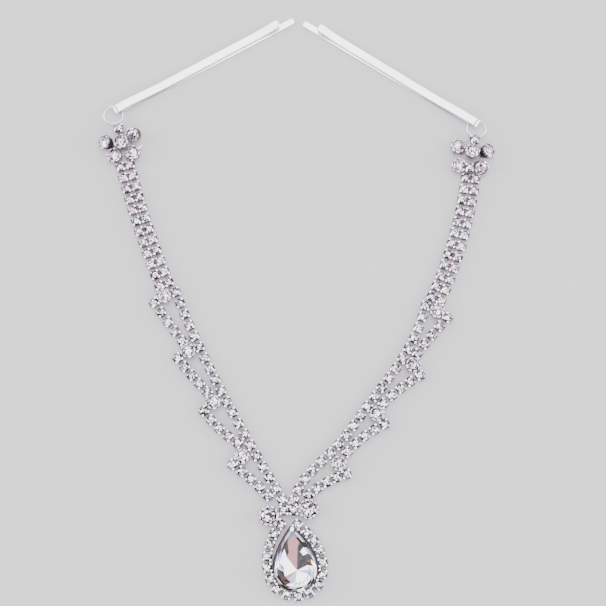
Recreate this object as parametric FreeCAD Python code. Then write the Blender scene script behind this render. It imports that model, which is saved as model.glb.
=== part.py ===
import FreeCAD, Part
import math
import os
from dataclasses import dataclass

V = FreeCAD.Vector
UP = V(0, 0, 1)

# Fits and shared heights, mm
SEAT_GAP = 0.12            # stone to seat, square to the facets
NICHE_GAP = 0.105          # room kept free of metal round every stone
SEAT_FLOOR = 0.35          # height of the lowest point of a seat
HALF_STEP = 22.5           # the stones' corners sit this far from the row's direction, degrees

# Bars between cups
LINK_WIDTH, LINK_LOW, LINK_HIGH = 0.76, 0.28, 0.60
SOLDER_WIDTH, SOLDER_HIGH = 1.2, 0.90
BAR_INSET = 1.0            # a bar starts this far from a small cup's centre
JOIN_REACH = 4.4           # an accent cup is soldered to small cups nearer than this
SOLDER_INSET = 0.62        # a solder bar starts this share of a foot's radius from the cup's centre

# Loose link between two sub-assemblies: a flared head in a chamber of the next cup
HEAD_NEAR, HEAD_FAR, HEAD_WIDTH = 0.72, 0.92, 1.26
CHAMBER_NEAR, CHAMBER_FAR, CHAMBER_WIDTH = 0.60, 1.04, 1.50
SLOT_FAR, SLOT_WIDTH = 2.2, 1.0
CHAMBER_LOW, CHAMBER_HIGH = 0.17, 0.71

# Rows, mm, in the plane of the chain: each row runs through these points at an even pitch
BAND_PAIRS = 12
BAND_HALF = 1.45
BAND = {
    "left": [(-51.8, 40.6), (-46.0, 21.7), (-39.8, 5.3)],
    "right": [(48.8, 36.7), (44.1, 16.5), (38.1, 1.0)],
}
INNER_COUNT = {"left": 20, "right": 21}
INNER = {
    "left": [(-36.4, 2.9), (-27.4, -17.2), (-16.3, -38.0), (-5.8, -56.0)],
    "right": [(35.0, -1.1), (27.6, -17.2), (18.5, -29.4), (8.5, -42.2), (-0.5, -51.7), (-2.6, -56.3)],
}
OUTER_COUNT = 5
OUTER = {
    "left": [
        [(-42.5, -0.2), (-38.4, -5.9), (-34.3, -11.3)],
        [(-35.5, -16.2), (-31.4, -21.2), (-27.0, -25.9)],
        [(-27.9, -31.3), (-24.0, -35.7), (-18.3, -40.3)],
        [(-19.7, -46.3), (-13.6, -51.2), (-9.8, -54.9)],
    ],
    "right": [
        [(41.2, -4.6), (36.6, -9.7), (32.4, -15.0)],
        [(33.1, -21.2), (26.1, -26.0), (22.6, -29.2)],
        [(22.9, -35.0), (17.2, -38.4), (12.4, -42.8)],
        [(12.1, -49.0), (5.9, -51.6), (1.6, -54.7)],
    ],
}
ACCENT = {
    "left": [(-39.70, 1.65), (-32.50, -14.25), (-25.25, -28.85), (-17.05, -44.15)],
    "right": [(38.25, -2.70), (31.15, -18.28), (20.75, -32.18), (10.00, -46.10)],
}
CENTRE_INNER = {"left": 2, "right": 1}     # inner-row cups that belong to the centre setting

# Bow and pear
BOW = {"left": (-9.35, -60.55), "right": (1.53, -58.69)}
BOW_SMALL = {"left": (-5.25, -58.95), "right": (-2.55, -59.0)}
HALO_COUNT = 17
HALO = [
    (-6.2, -62.8), (-9.1, -68.2), (-9.75, -74.6), (-7.4, -80.0), (-1.9, -82.15),
    (3.9, -79.5), (5.5, -73.9), (3.3, -67.9), (-1.5, -62.9),
]
PEAR_AT, PEAR_LEAN = (-2.26, -72.3), 5.3
PEAR_LENGTH, PEAR_BELLY = 17.2, 7.4        # belly: half width before the drop's own narrowing
PEAR_POINTS = 16
PEAR_GIRDLE_Z, PEAR_TABLE_Z, PEAR_CULET_Z = 3.0, 4.6, 0.95
PEAR_TABLE_SCALE = 0.62
PEAR_CLAWS = (0, 3, 6, 8, 10, 13)          # outline points that carry a claw
COLLAR_FOOT_SCALE, COLLAR_WALL, COLLAR_RIM_Z, COLLAR_CLAW_Z = 0.72, 0.50, 2.9, 3.5
COLLAR_GAP = 0.25
PLATE_Z, PLATE_REACH = 0.6, 0.8

# Jump rings and the loops they hang in
RING_R, RING_WIRE, RING_Z = 2.75, 0.25, 1.25
LOOP_R, LOOP_WIRE = 0.80, 0.28
RING_FACES, LOOP_FACES = (40, 8), (12, 8)  # flat faces round a ring and round its wire
TOP_POST_REACH = 4.35      # the loop's post stands at least this far from the ring's centre

# Bobby pins
PIN_THICK, PIN_WIDE, PIN_TIP_WIDE = 0.5, 2.4, 2.0
PIN_EYE = 2.0              # from the lower leg's middle up to the upper one's, at the fold
PIN_BEND = 0.95
PIN_SHOULDER = (4.2, 3.0)                  # where the upper leg leaves the eye: place, bend radius
PIN_WAIST = (16.0, 1.2, 6.0)               # where it comes down: place, height, bend radius
PIN_LIFT = (6.4, 0.95, 5.0)                # where its tip turns up: place before the tip, height, bend radius
PIN_TIP_Z = 2.3            # height of the upper leg's middle 1 mm past its tip
PIN_TAPER_FROM = 6.0       # the lower leg starts to narrow and drift here
PIN_ROUND = 0.8            # how far back the rounding of a tip starts


@dataclass(frozen=True)
class Size:
    """A claw cup and its stone, mm. Radii are to corners."""
    stone: float
    table: float
    table_corners: int
    crown: float
    foot: float
    rim: float
    rim_z: float
    claw: float
    claw_z: float
    claws: int

    @property
    def slope(self):
        pocket = (self.stone + SEAT_GAP / COS_HALF) * COS_HALF
        return (self.rim_z - SEAT_FLOOR) / pocket

    @property
    def culet_z(self):
        return SEAT_FLOOR + SEAT_GAP * math.hypot(1, self.slope)

    @property
    def girdle_z(self):
        return self.culet_z + self.slope * self.stone * COS_HALF


COS_HALF = math.cos(math.radians(HALF_STEP))
SMALL = Size(1.20, 0.72, 4, 0.45, 1.626, 1.42, 1.40, 1.75, 1.90, 4)
ROUND = Size(1.85, 1.15, 8, 0.60, 1.70, 2.15, 1.90, 2.30, 2.50, 8)
LARGE = Size(2.50, 1.50, 8, 0.75, 2.10, 2.85, 2.30, 2.98, 3.00, 8)


@dataclass(frozen=True)
class Spot:
    """Where a cup stands: its foot's centre, its turn, and how far it leans towards lean_to."""
    x: float
    y: float
    z: float = 0.0
    turn: float = 0.0
    lean_to: float = 0.0
    lean: float = 0.0

    @property
    def flat(self):
        return V(self.x, self.y, 0)

    def placement(self):
        side = V(-math.sin(math.radians(self.lean_to)), math.cos(math.radians(self.lean_to)), 0)
        turned = FreeCAD.Rotation(side, self.lean).multiply(FreeCAD.Rotation(UP, self.turn))
        return FreeCAD.Placement(V(self.x, self.y, self.z), turned)


@dataclass(frozen=True)
class Seat:
    """A cup in its place and the node that its stone belongs to."""
    spot: Spot
    size: Size
    stone_node: str


@dataclass(frozen=True)
class Petal:
    """One cup of a flower: where its middle shows from above, and its lean."""
    name: str
    x: float
    y: float
    size: Size
    z: float
    lean_to: float
    lean: float


ROSETTE = {
    "left": [
        Petal("centre", -52.98, 47.16, ROUND, 2.2, 0, 0),
        Petal("top", -53.94, 51.63, SMALL, 1.7, 0, 0),
        Petal("petal_1", -49.51, 49.99, ROUND, 0, 219, 38),
        Petal("petal_2", -49.72, 44.45, ROUND, 0, 0, 0),
        Petal("petal_3", -55.12, 43.57, ROUND, 0, 0, 0),
        Petal("petal_4", -57.50, 47.47, ROUND, 0, 176, 38),
    ],
    "right": [
        Petal("centre", 49.22, 44.37, ROUND, 2.2, 0, 0),
        Petal("top", 50.09, 48.14, SMALL, 1.7, 0, 0),
        Petal("petal_1", 53.66, 44.82, ROUND, 0, 6, 35),
        Petal("petal_2", 51.64, 39.98, ROUND, 0, 299, 35),
        Petal("petal_3", 45.58, 40.59, ROUND, 0, 226, 15),
        Petal("petal_4", 45.33, 46.34, ROUND, 0, 0, 0),
        Petal("low", 48.27, 39.32, SMALL, 2.3, 0, 0),
    ],
}
MID_HEIGHT = 1.2           # a leaning cup is placed by its middle at this height
DISC_R = 3.2
TONGUE_WIDTH = 1.6
CENTRE_POST_R, TOP_POST_R, PETAL_POST_R = 1.2, 0.9, 0.8
POST_SINK, TOP_POST_SINK = 0.1, 0.2        # how far a post reaches into its cup's foot


@dataclass(frozen=True)
class Pin:
    """A bobby pin: its fold, the upper leg's direction, leg lengths and the ring's place in its frame."""
    fold_x: float
    fold_y: float
    heading: float
    upper: float
    lower: float
    lower_shift: float
    ring_along: float
    ring_across: float

    def placement(self):
        return FreeCAD.Placement(V(self.fold_x, self.fold_y, 0), FreeCAD.Rotation(UP, self.heading))


PINS = {
    "left": Pin(-55.64, 57.29, 29.66, 55.6, 60.3, -0.95, -0.60, -0.93),
    "right": Pin(51.48, 53.00, 146.83, 55.9, 60.65, 0.90, 0.00, 1.14),
}


# Flat-faced solids

def flat_solid(points, faces):
    """A solid from a list of corner points and the faces that join them by number."""
    sides = []
    for face in faces:
        ring = [points[i] for i in face]
        sides.append(Part.Face(Part.makePolygon(ring + [ring[0]])))
    shell = Part.makeShell(sides)
    shell.sewShape()
    solid = Part.makeSolid(Part.Shell(shell.Faces))
    if solid.Volume < 0:
        solid.reverse()
    return solid


def strip(lower, upper, whole=360.0):
    """Triangles between two closed rings, each a rising list of (angle, point number)."""
    a = lower + [(lower[0][0] + whole, lower[0][1])]
    b = upper + [(upper[0][0] + whole, upper[0][1])]
    i = j = 0
    made = []
    while i < len(lower) or j < len(upper):
        step_lower = j == len(upper) or (i < len(lower) and a[i + 1][0] <= b[j + 1][0] + 1e-6)
        if step_lower:
            made.append((a[i][1], a[i + 1][1], b[j][1]))
            i += 1
        else:
            made.append((a[i][1], b[j + 1][1], b[j][1]))
            j += 1
    return made


class Rings:
    """Collects rings of points, and the faces between them, for one solid."""

    def __init__(self):
        self.points = []
        self.faces = []

    def add(self, places):
        """Adds (angle, point) pairs as a ring and returns it as (angle, point number)."""
        start = len(self.points)
        self.points += [p for _, p in places]
        return [(a, start + i) for i, (a, _) in enumerate(places)]

    def circle(self, radius, z, count, first):
        angles = [first + 360.0 * i / count for i in range(count)]
        return self.add([(a, polar(radius, a, z)) for a in angles])

    def close(self, ring):
        self.faces.append(tuple(n for _, n in ring))

    def between(self, lower, upper):
        self.faces += strip(lower, upper)

    def to_point(self, ring, point):
        self.points.append(point)
        tip = len(self.points) - 1
        numbers = [n for _, n in ring]
        self.faces += [(a, b, tip) for a, b in zip(numbers, numbers[1:] + numbers[:1])]

    def solid(self):
        return flat_solid(self.points, self.faces)


def polar(radius, angle, z):
    return V(radius * math.cos(math.radians(angle)), radius * math.sin(math.radians(angle)), z)


def cup_shape(size):
    """A claw cup: flared sides, a raised tip at each claw and a faceted pocket."""
    first = 180.0 / size.claws if size.claws == 4 else HALF_STEP
    half = 180.0 / size.claws
    rings = Rings()
    foot = rings.circle(size.foot, 0, size.claws, first)
    turns = [first + 2 * half * k for k in range(size.claws)]
    tips = [(turn, polar(size.claw, turn, size.claw_z)) for turn in turns]
    dips = [(a + half, polar(size.rim, a + half, size.rim_z)) for a, _ in tips]
    rim = rings.add(sorted(tips + dips, key=lambda place: place[0]))
    pocket_first = first if size.claws == 8 else first + HALF_STEP
    pocket = rings.circle(size.stone + SEAT_GAP / COS_HALF, size.rim_z, 8, pocket_first)
    rings.close(foot)
    rings.between(foot, rim)
    rings.between(rim, pocket)
    rings.to_point(pocket, V(0, 0, SEAT_FLOOR))
    return rings.solid()


def stone_shape(size):
    """A cut stone: table, crown facets, and a pavilion parallel to the cup's pocket."""
    rings = Rings()
    girdle = rings.circle(size.stone, size.girdle_z, 8, HALF_STEP)
    table_first = 45.0 if size.table_corners == 4 else HALF_STEP
    table = rings.circle(size.table, size.girdle_z + size.crown, size.table_corners, table_first)
    rings.close(table)
    rings.between(girdle, table)
    rings.to_point(girdle, V(0, 0, size.culet_z))
    return rings.solid()


def niche_shape(size):
    """The room that a stone needs: its pavilion and girdle grown by a gap, open upward."""
    low = size.culet_z - NICHE_GAP * math.hypot(1, size.slope)
    reach = size.stone + NICHE_GAP / COS_HALF
    rings = Rings()
    shoulder = rings.circle(reach, low + size.slope * reach * COS_HALF, 8, HALF_STEP)
    top = rings.circle(reach, size.girdle_z + size.crown + NICHE_GAP, 8, HALF_STEP)
    rings.close(top)
    rings.between(shoulder, top)
    rings.to_point(shoulder, V(0, 0, low))
    return rings.solid()


CUP = {size: cup_shape(size) for size in (SMALL, ROUND, LARGE)}
STONE = {size: stone_shape(size) for size in (SMALL, ROUND, LARGE)}
NICHE = {size: niche_shape(size) for size in (SMALL, ROUND, LARGE)}


def wire_ring(radius, wire, around, across, centre, axis):
    """A round wire bent to a closed ring, with many flat faces, square to the axis."""
    rings = Rings()
    sections = []
    for i in range(around):
        angle = 360.0 * i / around
        places = []
        for j in range(across):
            tilt = 360.0 * (j + 0.5) / across
            reach = radius + wire * math.cos(math.radians(tilt))
            places.append((tilt, polar(reach, angle, wire * math.sin(math.radians(tilt)))))
        sections.append(rings.add(places))
    for one, two in zip(sections, sections[1:] + sections[:1]):
        for (_, a), (_, b), (_, c), (_, d) in zip(one, one[1:] + one[:1], two[1:] + two[:1], two):
            rings.faces.append((a, b, c, d))
    return placed(rings.solid(), FreeCAD.Placement(centre, FreeCAD.Rotation(UP, axis)))


def placed(shape, placement):
    made = shape.copy()
    made.Placement = placement
    return made


def fuse(shapes):
    return shapes[0].multiFuse(shapes[1:]) if len(shapes) > 1 else shapes[0]


# Rows, bars and links

def row(points, count, z=0.0):
    """Spots at an even pitch along the smooth curve through the points."""
    curve = Part.BSplineCurve()
    curve.interpolate([V(x, y, 0) for x, y in points])
    edge = curve.toShape()
    spots = []
    for i in range(count):
        t = edge.getParameterByLength(edge.Length * i / (count - 1))
        at, along = edge.valueAt(t), edge.tangentAt(t)
        spots.append(Spot(at.x, at.y, z, math.degrees(math.atan2(along.y, along.x))))
    return spots


def beside(spot, reach):
    """The spot moved to its left by reach."""
    turn = math.radians(spot.turn)
    return Spot(spot.x - reach * math.sin(turn), spot.y + reach * math.cos(turn), spot.z, spot.turn)


def bar(start, end, near, far, width, low, high):
    """A straight bar from near past start to far past start, on the line to end."""
    line = end - start
    box = Part.makeBox(far - near, width, high - low, V(near, -width / 2, low))
    turn = math.degrees(math.atan2(line.y, line.x))
    return placed(box, FreeCAD.Placement(V(start.x, start.y, 0), FreeCAD.Rotation(UP, turn)))


def link(a, b):
    gap = (b.spot.flat - a.spot.flat).Length
    return bar(a.spot.flat, b.spot.flat, BAR_INSET, gap - BAR_INSET, LINK_WIDTH, LINK_LOW, LINK_HIGH)


def solder(a, b):
    """A wide low bar between two cups that touch or nearly touch."""
    gap = (b.spot.flat - a.spot.flat).Length
    start = a.size.foot * SOLDER_INSET
    end = gap - b.size.foot * SOLDER_INSET
    return bar(a.spot.flat, b.spot.flat, start, end, SOLDER_WIDTH, LINK_LOW, SOLDER_HIGH)


def loose_link(giver, receiver):
    """The giver's necked head, and the room cut for it in the receiver's cup."""
    a, b = giver.spot.flat, receiver.spot.flat
    gap = (b - a).Length
    neck = bar(a, b, BAR_INSET, gap - HEAD_NEAR, LINK_WIDTH, LINK_LOW, LINK_HIGH)
    head = bar(b, a, HEAD_NEAR, HEAD_FAR, HEAD_WIDTH, LINK_LOW, LINK_HIGH)
    chamber = bar(b, a, CHAMBER_NEAR, CHAMBER_FAR, CHAMBER_WIDTH, CHAMBER_LOW, CHAMBER_HIGH)
    slot = bar(b, a, CHAMBER_NEAR, SLOT_FAR, SLOT_WIDTH, CHAMBER_LOW, CHAMBER_HIGH)
    return [neck, head], [chamber, slot]


class Setting:
    """One soldered piece of metal: its cups, the bars and plates between them, and what is cut out."""

    def __init__(self, name, seats):
        self.name = name
        self.seats = seats
        self.pieces = []
        self.cuts = []

    def chain(self, seats):
        self.pieces += [link(a, b) for a, b in zip(seats, seats[1:])]

    def join_accent(self, accent):
        for seat in self.seats:
            if seat is not accent and (seat.spot.flat - accent.spot.flat).Length < JOIN_REACH:
                self.pieces.append(solder(accent, seat))

    def shape(self, everyone):
        cups = [placed(CUP[s.size], s.spot.placement()) for s in self.seats]
        for i, seat in enumerate(self.seats):
            for other in everyone:
                away = (other.spot.flat - seat.spot.flat).Length
                if other is not seat and away < seat.size.claw + other.size.stone + NICHE_GAP:
                    cups[i] = cups[i].cut(placed(NICHE[other.size], other.spot.placement()))
        metal = fuse(cups + self.pieces)
        if self.cuts:
            metal = metal.cut(fuse(self.cuts))
        return metal.removeSplitter()


def connect(giver, receiver, a, b):
    """Hangs setting receiver from setting giver by a loose link from cup a to cup b."""
    solids, room = loose_link(a, b)
    giver.pieces += solids
    receiver.cuts += room


# Flowers with their loops

def petal_seat(petal, side):
    """The seat of one flower cup, lifted so that its foot stays above the ground."""
    back = MID_HEIGHT * math.sin(math.radians(petal.lean))
    foot_drop = petal.size.foot * math.sin(math.radians(petal.lean))
    at = V(petal.x, petal.y, 0) - polar(back, petal.lean_to, 0)
    turn = 0.0 if petal.size is SMALL else petal.lean_to - HALF_STEP
    spot = Spot(at.x, at.y, petal.z + foot_drop, turn, petal.lean_to, petal.lean)
    return Seat(spot, petal.size, f"rosette_stone_{side}_{petal.name}")


def rosette_base(side, seats, pair, ring_at):
    """Disc, tongues, posts and the wire loop that carry a flower's cups."""
    middle = seats[0].spot.flat
    disc = Part.makeCylinder(DISC_R, PLATE_Z, middle)
    pieces = [disc, Part.makeCylinder(CENTRE_POST_R, seats[0].spot.z + POST_SINK, middle)]
    top = seats[1]
    toward = top.spot.flat - ring_at
    reach = toward.Length
    toward.normalize()
    post_at = ring_at + toward * max(reach, TOP_POST_REACH)
    pieces.append(Part.makeCylinder(TOP_POST_R, top.spot.z + TOP_POST_SINK, post_at))
    pieces.append(bar(middle, post_at, 0, (post_at - middle).Length, TONGUE_WIDTH, 0, PLATE_Z))
    side_on = V(-toward.y, toward.x, 0)
    loop_at = ring_at + toward * RING_R + UP * RING_Z
    pieces.append(wire_ring(LOOP_R, LOOP_WIRE, *LOOP_FACES, loop_at, side_on))
    for seat in seats[2:]:
        away = (seat.spot.flat - middle).Length
        pieces.append(bar(middle, seat.spot.flat, 0, away, TONGUE_WIDTH, 0, SEAT_FLOOR))
        if seat.spot.z > 0:
            pieces.append(Part.makeCylinder(PETAL_POST_R, seat.spot.z + POST_SINK, seat.spot.flat))
    between = (pair[0].spot.flat + pair[1].spot.flat) * 0.5
    pieces.append(bar(middle, between, 0, (between - middle).Length, TONGUE_WIDTH, 0, PLATE_Z))
    return pieces


# Pear

def pear_outline(scale=1.0, grow=0.0):
    """Points of the drop's outline as (degrees, x, y): scaled, then moved outward by grow."""
    def at(t):
        reach = math.sin(t) * math.sin(t / 2)
        return PEAR_BELLY * reach * scale, PEAR_LENGTH / 2 * math.cos(t) * scale
    places = []
    for i in range(PEAR_POINTS):
        angle = 360.0 * i / PEAR_POINTS
        x, y = at(math.radians(angle))
        if i == 0:
            out = (0.0, 1.0)
        else:
            (x0, y0), (x1, y1) = at(math.radians(angle - 1)), at(math.radians(angle + 1))
            long = math.hypot(x1 - x0, y1 - y0)
            out = (-(y1 - y0) / long, (x1 - x0) / long)
        places.append((angle, x + grow * out[0], y + grow * out[1]))
    return places


def pear_ring(rings, places, heights):
    return rings.add([(a, V(x, y, z)) for (a, x, y), z in zip(places, heights)])


def pear_placement():
    return FreeCAD.Placement(V(*PEAR_AT, 0), FreeCAD.Rotation(UP, PEAR_LEAN))


def pear_stone():
    rings = Rings()
    girdle = pear_ring(rings, pear_outline(), [PEAR_GIRDLE_Z] * PEAR_POINTS)
    table = pear_ring(rings, pear_outline(PEAR_TABLE_SCALE)[::2], [PEAR_TABLE_Z] * PEAR_POINTS)
    rings.close(table)
    rings.between(girdle, table)
    rings.to_point(girdle, V(0, 0, PEAR_CULET_Z))
    return placed(rings.solid(), pear_placement())


def pear_collar():
    """The cup that holds the drop: flared wall, raised claws and a pocket parallel to the pavilion."""
    rings = Rings()
    foot = pear_ring(rings, pear_outline(COLLAR_FOOT_SCALE), [0.0] * PEAR_POINTS)
    tops = [COLLAR_CLAW_Z if i in PEAR_CLAWS else COLLAR_RIM_Z for i in range(PEAR_POINTS)]
    rim = pear_ring(rings, pear_outline(1.0, COLLAR_WALL), tops)
    pocket = pear_ring(rings, pear_outline(1.0, COLLAR_GAP), [COLLAR_RIM_Z] * PEAR_POINTS)
    rings.close(foot)
    rings.between(foot, rim)
    rings.between(rim, pocket)
    rings.to_point(pocket, V(0, 0, PEAR_CULET_Z - 0.2))
    return placed(rings.solid(), pear_placement())


def pear_plate():
    rings = Rings()
    outline = pear_outline(1.0, PLATE_REACH)
    low = pear_ring(rings, outline, [0.0] * PEAR_POINTS)
    high = pear_ring(rings, outline, [PLATE_Z] * PEAR_POINTS)
    rings.close(low)
    rings.close(high)
    rings.between(low, high)
    return placed(rings.solid(), pear_placement())


# Bobby pins and rings

def ribbon(corners):
    """A strip PIN_THICK thick along (x, z, bend radius) corners, PIN_WIDE wide, bends rounded."""
    half = PIN_THICK / 2
    flat = [V(x, 0, z) for x, z, _ in corners]
    legs = [(b - a).normalize() for a, b in zip(flat, flat[1:])]
    sides = []
    for shift in (half, -half):
        here = flat[0] + normal(legs[0]) * shift
        edges = []
        for i in range(1, len(flat) - 1):
            before, after = legs[i - 1], legs[i]
            bend = corners[i][2]
            turned = math.acos(max(-1.0, min(1.0, before.dot(after))))
            back = bend * math.tan(turned / 2)
            one = flat[i] - before * back + normal(before) * shift
            two = flat[i] + after * back + normal(after) * shift
            left = 1 if normal(before).dot(after) > 0 else -1
            hub = flat[i] - before * back + normal(before) * (bend * left)
            out = ((one - hub) + (two - hub)).normalize()
            mid = hub + out * (one - hub).Length
            edges.append(Part.makeLine(here, one))
            edges.append(Part.Arc(one, mid, two).toShape())
            here = two
        last = flat[-1] + normal(legs[-1]) * shift
        edges.append(Part.makeLine(here, last))
        sides.append(edges)
    start = Part.makeLine(sides[0][0].Vertexes[0].Point, sides[1][0].Vertexes[0].Point)
    end = Part.makeLine(sides[0][-1].Vertexes[-1].Point, sides[1][-1].Vertexes[-1].Point)
    loop = Part.Wire(Part.__sortEdges__(sides[0] + sides[1] + [start, end]))
    face = Part.Face(loop)
    face.translate(V(0, -PIN_WIDE / 2 - 0.5, 0))
    return face.extrude(V(0, PIN_WIDE + 1.0, 0))


def normal(along):
    return V(-along.z, 0, along.x)


def leg_outline(length, tip_wide, shift, straight):
    """A leg seen from above, rounded at the tip, as a tall prism."""
    half, tip = PIN_WIDE / 2, tip_wide / 2
    neck = length - PIN_ROUND
    left = [V(-1, half, -1), V(straight, half, -1), V(neck, shift + tip, -1)]
    right = [V(neck, shift - tip, -1), V(straight, -half, -1), V(-1, -half, -1)]
    edges = [Part.makeLine(a, b) for a, b in zip(left, left[1:])]
    edges.append(Part.Arc(left[-1], V(length, shift, -1), right[0]).toShape())
    edges += [Part.makeLine(a, b) for a, b in zip(right, right[1:])]
    edges.append(Part.makeLine(right[-1], left[0]))
    return Part.Face(Part.Wire(edges)).extrude(V(0, 0, 6))


def bobby_pin(pin):
    """A flat strip folded into two legs, with an eye at the fold and the upper tip turned up."""
    low = PIN_THICK / 2
    high = low + PIN_EYE
    middle = (low + high) / 2
    shoulder, shoulder_bend = PIN_SHOULDER
    back, lift_z, lift_bend = PIN_LIFT
    upper = ribbon([
        (low, middle, 0), (low, high, PIN_BEND), (shoulder, high, shoulder_bend), PIN_WAIST,
        (pin.upper - back, lift_z, lift_bend), (pin.upper + 1, PIN_TIP_Z, 0),
    ])
    lower = ribbon([(low, middle, 0), (low, low, PIN_BEND), (pin.lower + 1, low, 0)])
    upper = upper.common(leg_outline(pin.upper, PIN_WIDE, 0, pin.upper / 2))
    lower = lower.common(leg_outline(pin.lower, PIN_TIP_WIDE, pin.lower_shift, PIN_TAPER_FROM))
    return placed(upper.fuse(lower).removeSplitter(), pin.placement())


def ring_centre(pin):
    return pin.placement().multVec(V(pin.ring_along, pin.ring_across, 0))


# The whole chain

def build_side(side, everyone):
    """Seats and settings of one side, from the flower down to the bow."""
    pin = PINS[side]
    flower = [petal_seat(p, side) for p in ROSETTE[side]]
    line = row(BAND[side], BAND_PAIRS)
    lanes = (BAND_HALF, -BAND_HALF)
    pairs = [[Seat(beside(s, reach), SMALL, f"band_stones_{side}") for reach in lanes] for s in line]
    field = f"garland_stones_{side}"
    inner = [Seat(s, SMALL, field) for s in row(INNER[side], INNER_COUNT[side])]
    outer = [[Seat(s, SMALL, field) for s in row(points, OUTER_COUNT)] for points in OUTER[side]]
    accents = [
        Seat(Spot(x, y), ROUND, f"accent_stone_{side}_{i}") for i, (x, y) in enumerate(ACCENT[side], start=1)
    ]
    everyone += flower + sum(pairs, []) + inner + sum(outer, []) + accents

    rosette = Setting(f"rosette_setting_{side}", flower + pairs[0])
    rosette.pieces += rosette_base(side, flower, pairs[0], ring_centre(pin))
    rosette.pieces.append(solder(*pairs[0]))
    rosette.cuts += [placed(NICHE[s.size], s.spot.placement()) for s in flower]

    band = Setting(f"band_settings_{side}", sum(pairs[1:], []) + [outer[0][0], accents[0], inner[0]])
    for across in pairs[1:]:
        band.pieces.append(solder(*across))
    for lane in (0, 1):
        band.chain([pair[lane] for pair in pairs[1:]])
        connect(rosette, band, pairs[0][lane], pairs[1][lane])
    band.join_accent(accents[0])

    kept = len(inner) - CENTRE_INNER[side]
    garland = Setting(
        f"garland_settings_{side}",
        inner[1:kept] + outer[0][1:] + outer[1] + outer[2] + outer[3][:-1] + accents[1:],
    )
    garland.chain(inner[1:kept])
    for lane in (outer[0][1:], outer[1], outer[2], outer[3][:-1]):
        garland.chain(lane)
    for accent in accents[1:]:
        garland.join_accent(accent)
    connect(band, garland, inner[0], inner[1])
    connect(band, garland, outer[0][0], outer[0][1])
    return [rosette, band, garland], inner, outer


def build_centre(ends, everyone):
    """The bow, the halo and the pear's seat, linked to both garlands."""
    bow = {side: Seat(Spot(*BOW[side]), LARGE, f"bow_stone_{side}") for side in BOW}
    small = {side: Seat(Spot(*BOW_SMALL[side]), SMALL, "bow_small_stones") for side in BOW}
    halo = [Seat(s, SMALL, "halo_stones") for s in row(HALO, HALO_COUNT)]
    seats = list(bow.values()) + list(small.values()) + halo
    everyone += seats
    centre = Setting("centre_setting", seats)
    centre.chain(halo)
    last = {}
    for side, (garland, inner, outer) in ends.items():
        kept = len(inner) - CENTRE_INNER[side]
        centre.seats = centre.seats + inner[kept:] + [outer[3][-1]]
        centre.chain(inner[kept:])
        connect(garland, centre, inner[kept - 1], inner[kept])
        connect(garland, centre, outer[3][-2], outer[3][-1])
        last[side] = inner[-1]
        for a, b in ((bow[side], small[side]), (small[side], last[side]), (bow[side], outer[3][-1])):
            centre.pieces.append(solder(a, b))
    centre.pieces += [
        solder(small["left"], small["right"]), solder(last["left"], last["right"]),
        solder(small["left"], halo[0]), solder(small["right"], halo[-1]), solder(bow["left"], halo[0]),
        pear_plate(), pear_collar(),
    ]
    centre.cuts += [placed(NICHE[s.size], s.spot.placement()) for s in centre.seats]
    return centre


def main():
    os.makedirs("parts", exist_ok=True)
    everyone = []
    settings = []
    ends = {}
    nodes = {}
    for side in ("left", "right"):
        made, inner, outer = build_side(side, everyone)
        settings += made
        ends[side] = (made[-1], inner, outer)
        nodes[f"bobby_pin_{side}"] = bobby_pin(PINS[side])
        ring_at = ring_centre(PINS[side]) + UP * RING_Z
        nodes[f"jump_ring_{side}"] = wire_ring(RING_R, RING_WIRE, *RING_FACES, ring_at, UP)
    settings.append(build_centre(ends, everyone))
    for setting in settings:
        nodes[setting.name] = setting.shape(everyone)
    stones = {}
    for seat in everyone:
        stones.setdefault(seat.stone_node, []).append(placed(STONE[seat.size], seat.spot.placement()))
    for name, found in stones.items():
        nodes[name] = found[0] if len(found) == 1 else Part.makeCompound(found)
    nodes["pear_crystal"] = pear_stone()

    box = Part.makeCompound(list(nodes.values())).BoundBox
    shift = V(-(box.XMin + box.XMax) / 2, -(box.YMin + box.YMax) / 2, -box.ZMin)
    size = (box.XLength, box.YLength, box.ZLength)
    print("moved by", [round(c, 3) for c in shift], "size", [round(n, 2) for n in size])
    for name, shape in nodes.items():
        shape.translate(shift)
        shape.exportStep(f"parts/{name}.step")
        print(name, "solids", len(shape.Solids), "faces", len(shape.Faces), "valid", shape.isValid())


main()
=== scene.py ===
"""Hair chain of claw-set stones with a pear drop and two bobby pins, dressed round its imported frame."""

import logging
import math
import random
from dataclasses import dataclass, field
from enum import Enum
from typing import Callable, Iterable, Optional, Sequence, Union

import bmesh
import bpy
from mathutils import Matrix, Vector


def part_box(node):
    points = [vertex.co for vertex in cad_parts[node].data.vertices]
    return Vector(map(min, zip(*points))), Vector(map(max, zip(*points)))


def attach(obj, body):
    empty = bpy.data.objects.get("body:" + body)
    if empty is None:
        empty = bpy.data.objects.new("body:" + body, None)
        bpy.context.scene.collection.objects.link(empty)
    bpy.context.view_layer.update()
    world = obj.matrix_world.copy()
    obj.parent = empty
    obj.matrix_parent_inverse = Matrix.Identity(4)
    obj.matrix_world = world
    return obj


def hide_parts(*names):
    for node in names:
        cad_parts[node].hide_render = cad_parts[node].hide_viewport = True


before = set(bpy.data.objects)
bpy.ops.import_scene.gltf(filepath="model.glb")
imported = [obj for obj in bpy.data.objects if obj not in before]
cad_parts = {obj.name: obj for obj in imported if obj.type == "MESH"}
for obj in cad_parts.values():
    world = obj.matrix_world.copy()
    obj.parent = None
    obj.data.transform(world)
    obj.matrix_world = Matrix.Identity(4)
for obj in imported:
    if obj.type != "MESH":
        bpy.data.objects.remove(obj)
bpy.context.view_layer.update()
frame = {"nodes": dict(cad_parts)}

MM = 0.001
LOG = logging.getLogger("hair_chain")
logging.basicConfig(level=logging.INFO, format="%(message)s")
UP = Vector((0.0, 0.0, 1.0))
BODY = "root"

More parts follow.
